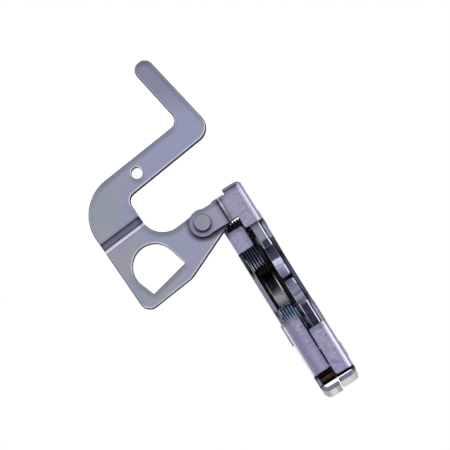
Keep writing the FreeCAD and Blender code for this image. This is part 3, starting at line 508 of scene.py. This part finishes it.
def zinc_rivet():
    """Rivets: the lever's has painted shade round its wall, and the case's have a painted highlight
    on the left.
    """
    recipe = Recipe("zinc_rivet")
    recipe.colour = zinc_colour(recipe, rgb(152, 154, 158), rgb(140, 146, 160), shift=4.0)
    grain = recipe.noise(0.4, detail=4.0)
    recipe.paint(recipe.span(grain, 0.35, 0.7, to_high=0.25), rgb(112, 112, 118))
    wall = recipe.all_of(recipe.ramp(recipe.steepness("Y"), (0.9, 0.75)),
                         recipe.zone(X=(LEVER_SIDE, LEVER_SIDE - 0.5)), 0.95)
    recipe.paint(wall, rgb(46, 42, 56))
    side = recipe.all_of(recipe.turned(X=(-0.15, -0.4)),
                         recipe.zone(X=(LEVER_SIDE - 0.5, LEVER_SIDE)))
    recipe.paint(side, rgb(206, 206, 222))
    recipe.bump(grain, strength=0.25, distance=0.08, radius=0.3)
    metal = recipe.number(recipe.either(side, wall), 1.0, 0.2)
    return recipe.finish(metal, grain, smooth=0.36, coarse=0.5)


def rim_highlights(recipe, colour):
    """Painted highlights on the rolled rims of a blanked plate, most on the right."""
    right = recipe.turned(X=(0.1, 0.3, 0.93, 0.99))
    left = recipe.turned(X=(-0.2, -0.5, -0.93, -0.99))
    lit_rim = recipe.either(right, recipe.all_of(left, 0.35), recipe.all_of(recipe.edges(0.5), 0.5))
    recipe.paint(recipe.all_of(lit_rim, 0.9), colour)


def blanked_steel(name, stops, rim_highlight_colour=rgb(232, 230, 246), dull_foot=False):
    """Thick blanked plate: its cut rim is painted with light and dark bands of reflection and shade,
    at the given heights.
    """
    recipe = Recipe(name)
    rim = recipe.ramp(recipe.steepness("X"), (0.75, 0.45))
    waver = recipe.patches(3.0, (0.3, 0.7), least=-0.5 * MM, most=0.5 * MM, shift=6.4)
    bands = recipe.bands(recipe.math("ADD", recipe.place["Z"], waver), stops)
    face = zinc_colour(recipe, rgb(150, 150, 168), rgb(140, 150, 172), shift=2.0)
    recipe.colour = recipe.mix(rim, face, bands)
    streak = recipe.patches(STREAK_SIZE, (0.50, 0.7), stretch=THROUGH_PLATE, shift=2.2)
    streak = recipe.all_of(streak, rim)
    recipe.paint(recipe.all_of(streak, 0.22), rgb(96, 94, 116))
    specks = recipe.patches(1.0, (0.60, 0.68), most=0.5, detail=3.0, shift=15.0)
    recipe.paint(specks, rgb(60, 72, 96))
    rim_highlights(recipe, rim_highlight_colour)
    recipe.bump(streak, strength=0.2, distance=0.08, radius=0.35)
    metal = recipe.fade("Z", -8, -4, 0.0, 0.85) if dull_foot else BLANKED_METAL
    return recipe.finish(metal, recipe.noise(2.0, detail=3.0), smooth=0.38, coarse=0.5)


def upper_rotor_steel():
    return blanked_steel("upper_rotor_steel", UPPER_ROTOR_REFLECTION_BANDS)


def lower_rotor_steel():
    return blanked_steel("lower_rotor_steel", LOWER_ROTOR_REFLECTION_BANDS)


def pawl_steel():
    return blanked_steel("pawl_steel", PAWL_SHADING_BANDS, rgb(240, 228, 200), dull_foot=True)


def spring_steel():
    """Oiled dark wire, painted lighter and bluer on the lower spring as a reflection, with a painted
    glint under the upper one's turns.
    """
    recipe = Recipe("spring_steel")
    recipe.colour = recipe.bands(recipe.place["Z"], SPRING_REFLECTION_BANDS)
    recipe.paint(recipe.patches(6.0, (0.35, 0.65), most=0.4), rgb(52, 74, 96))
    drawn = recipe.noise(0.25)
    recipe.paint(recipe.span(drawn, 0.4, 0.7, to_high=0.3), rgb(20, 20, 26))
    glint = recipe.all_of(recipe.turned(Z=(-0.6, -0.85)), recipe.zone(Z=(0, 4)), 0.8)
    recipe.paint(glint, rgb(236, 240, 246))
    recipe.bump(drawn, strength=0.15, distance=0.03, radius=0.3)
    return recipe.finish(metal=1.0, grain=drawn, smooth=0.10, coarse=0.18)


def lathe_marks(recipe, stretch, ridge, groove):
    """Fine rings of a turned piece. They are returned for the relief and roughness."""
    lathe = recipe.noise(0.3, stretch=stretch)
    recipe.colour = recipe.mix(recipe.span(lathe, 0.35, 0.65), ridge, groove)
    return lathe


def bush_steel():
    """Turned steel with brown oil."""
    recipe = Recipe("bush_steel")
    lathe = lathe_marks(recipe, ROUND_BUSH, rgb(126, 126, 134), rgb(92, 92, 102))
    recipe.paint(recipe.patches(7.0, (0.5, 0.7), most=0.5), rgb(74, 66, 60))
    recipe.bump(lathe, strength=0.2, distance=0.05, radius=0.2)
    return recipe.finish(metal=1.0, grain=lathe, smooth=0.25, coarse=0.4)


def bronze_tube():
    """Drawn bronze, dull with dirt."""
    recipe = Recipe("bronze_tube")
    lathe = lathe_marks(recipe, ROUND_TUBE, rgb(86, 60, 46), rgb(32, 22, 18))
    recipe.paint(recipe.patches(4.0, (0.5, 0.7), most=0.6, detail=3.0), rgb(48, 36, 28))
    recipe.bump(lathe, strength=0.2, distance=0.04, radius=0.2)
    return recipe.finish(metal=1.0, grain=lathe, smooth=0.2, coarse=0.34)


def spool_plastic():
    """Black moulded plastic, paler on its edges."""
    recipe = Recipe("spool_plastic")
    grain = recipe.noise(0.35, detail=3.0)
    recipe.colour = recipe.mix(recipe.span(grain, 0.35, 0.65), rgb(24, 24, 28), rgb(38, 38, 43))
    recipe.paint(recipe.all_of(recipe.edges(0.4), 0.4), rgb(70, 70, 76))
    recipe.bump(grain, strength=0.25, distance=0.05, radius=0.25)
    return recipe.finish(metal=0.0, grain=grain, smooth=0.42, coarse=0.6)


SLOT_FINISHES = {
    "zinc_sheet": case_sheet,
    "zinc_rivet": zinc_rivet,
    "rotor_steel": upper_rotor_steel,
    "spring_steel": spring_steel,
    "bush_steel": bush_steel,
    "spool_plastic": spool_plastic,
    "bronze_tube": bronze_tube,
}
NODE_FINISHES = {
    "release_lever": lever_sheet,
    "lower_rotor": lower_rotor_steel,
    "pawl": pawl_steel,
}


def dress_nodes():
    """Give each CAD node its own finish, or that of its slot in the record."""
    by_slot = {slot: make() for slot, make in SLOT_FINISHES.items()}
    by_node = {node: make() for node, make in NODE_FINISHES.items()}
    for part in frame["record"]["subparts"]:
        piece = frame["nodes"][part["node"]]
        piece.data.materials.clear()
        piece.data.materials.append(by_node.get(part["node"], by_slot[part["material_slot"]]))


def put_in_scene(name, data):
    piece = bpy.data.objects.new(name, data)
    bpy.context.scene.collection.objects.link(piece)
    return piece


def make_camera():
    camera = put_in_scene("camera", bpy.data.cameras.new("camera"))
    camera.data.sensor_width = SENSOR
    camera.data.lens = SENSOR * VIEW_DISTANCE / VIEW_WIDTH
    back = Vector((0.0, -math.cos(VIEW_ELEVATION), math.sin(VIEW_ELEVATION)))
    camera.location = VIEW_CENTRE + back * VIEW_DISTANCE
    camera.rotation_mode = "QUATERNION"
    level = (-back).to_track_quat("-Z", "Y")
    camera.rotation_quaternion = level @ Quaternion((0.0, 0.0, 1.0), VIEW_ROLL)
    bpy.context.scene.camera = camera


def show_mix(tree, factor, first, second, output):
    """Send a mix of two shaders to the tree's output: the first at 0, the second at 1."""
    mix = tree.nodes.new("ShaderNodeMixShader")
    for socket, source in zip(mix.inputs, (factor, first, second)):
        tree.links.new(source, socket)
    tree.links.new(mix.outputs[0], tree.nodes[output].inputs["Surface"])


def make_world():
    """White behind the object and in what it mirrors, and a soft pale light on it."""
    world = bpy.data.worlds.new("studio")
    bpy.context.scene.world = world
    world.use_nodes = True
    tree = world.node_tree
    seen = tree.nodes["Background"]
    seen.inputs["Color"].default_value = (1.0, 1.0, 1.0, 1.0)
    room = tree.nodes.new("ShaderNodeBackground")
    room.inputs["Color"].default_value = ROOM_COLOUR
    room.inputs["Strength"].default_value = ROOM_LIGHT
    path = tree.nodes.new("ShaderNodeLightPath")
    white = path.outputs["Is Camera Ray"]
    for ray in ("Is Glossy Ray", "Is Transmission Ray"):
        either = tree.nodes.new("ShaderNodeMath")
        either.operation = "MAXIMUM"
        tree.links.new(white, either.inputs[0])
        tree.links.new(path.outputs[ray], either.inputs[1])
        white = either.outputs[0]
    show_mix(tree, white, room.outputs[0], seen.outputs[0], "World Output")


def make_floor():
    """Pale floor far below the hanging latch, clear from beneath."""
    low = cad_box[0].z - FLOOR_DROP
    half = FLOOR_SIZE / 2
    mesh = bpy.data.meshes.new("floor")
    corners = [(-half, -half, low), (half, -half, low), (half, half, low), (-half, half, low)]
    mesh.from_pydata(corners, [], [(0, 1, 2, 3)])
    floor = put_in_scene("floor", mesh)
    floor.visible_glossy = False
    material = bpy.data.materials.new("floor")
    material.use_nodes = True
    tree = material.node_tree
    shader = tree.nodes["Principled BSDF"]
    shader.inputs["Base Color"].default_value = rgb(236, 236, 238)
    shader.inputs["Roughness"].default_value = FLOOR_ROUGHNESS
    clear = tree.nodes.new("ShaderNodeBsdfTransparent")
    beneath = tree.nodes.new("ShaderNodeNewGeometry").outputs["Backfacing"]
    show_mix(tree, beneath, shader.outputs[0], clear.outputs[0], "Material Output")
    mesh.materials.append(material)


def make_lamps():
    """Soft square lamps that aim at the object's middle and aren't themselves seen."""
    middle = (cad_box[0] + cad_box[1]) / 2
    for name, offset, size, power in LAMPS:
        data = bpy.data.lights.new(name, "AREA")
        data.shape = "SQUARE"
        data.size = size
        data.energy = power
        lamp = put_in_scene(name, data)
        lamp.location = middle + Vector(offset)
        lamp.rotation_mode = "QUATERNION"
        lamp.rotation_quaternion = (-Vector(offset)).to_track_quat("-Z", "Y")
        lamp.visible_camera = False


make_camera()
make_world()
make_floor()
make_lamps()
dress_nodes()
bpy.context.scene.view_settings.view_transform = "Standard"
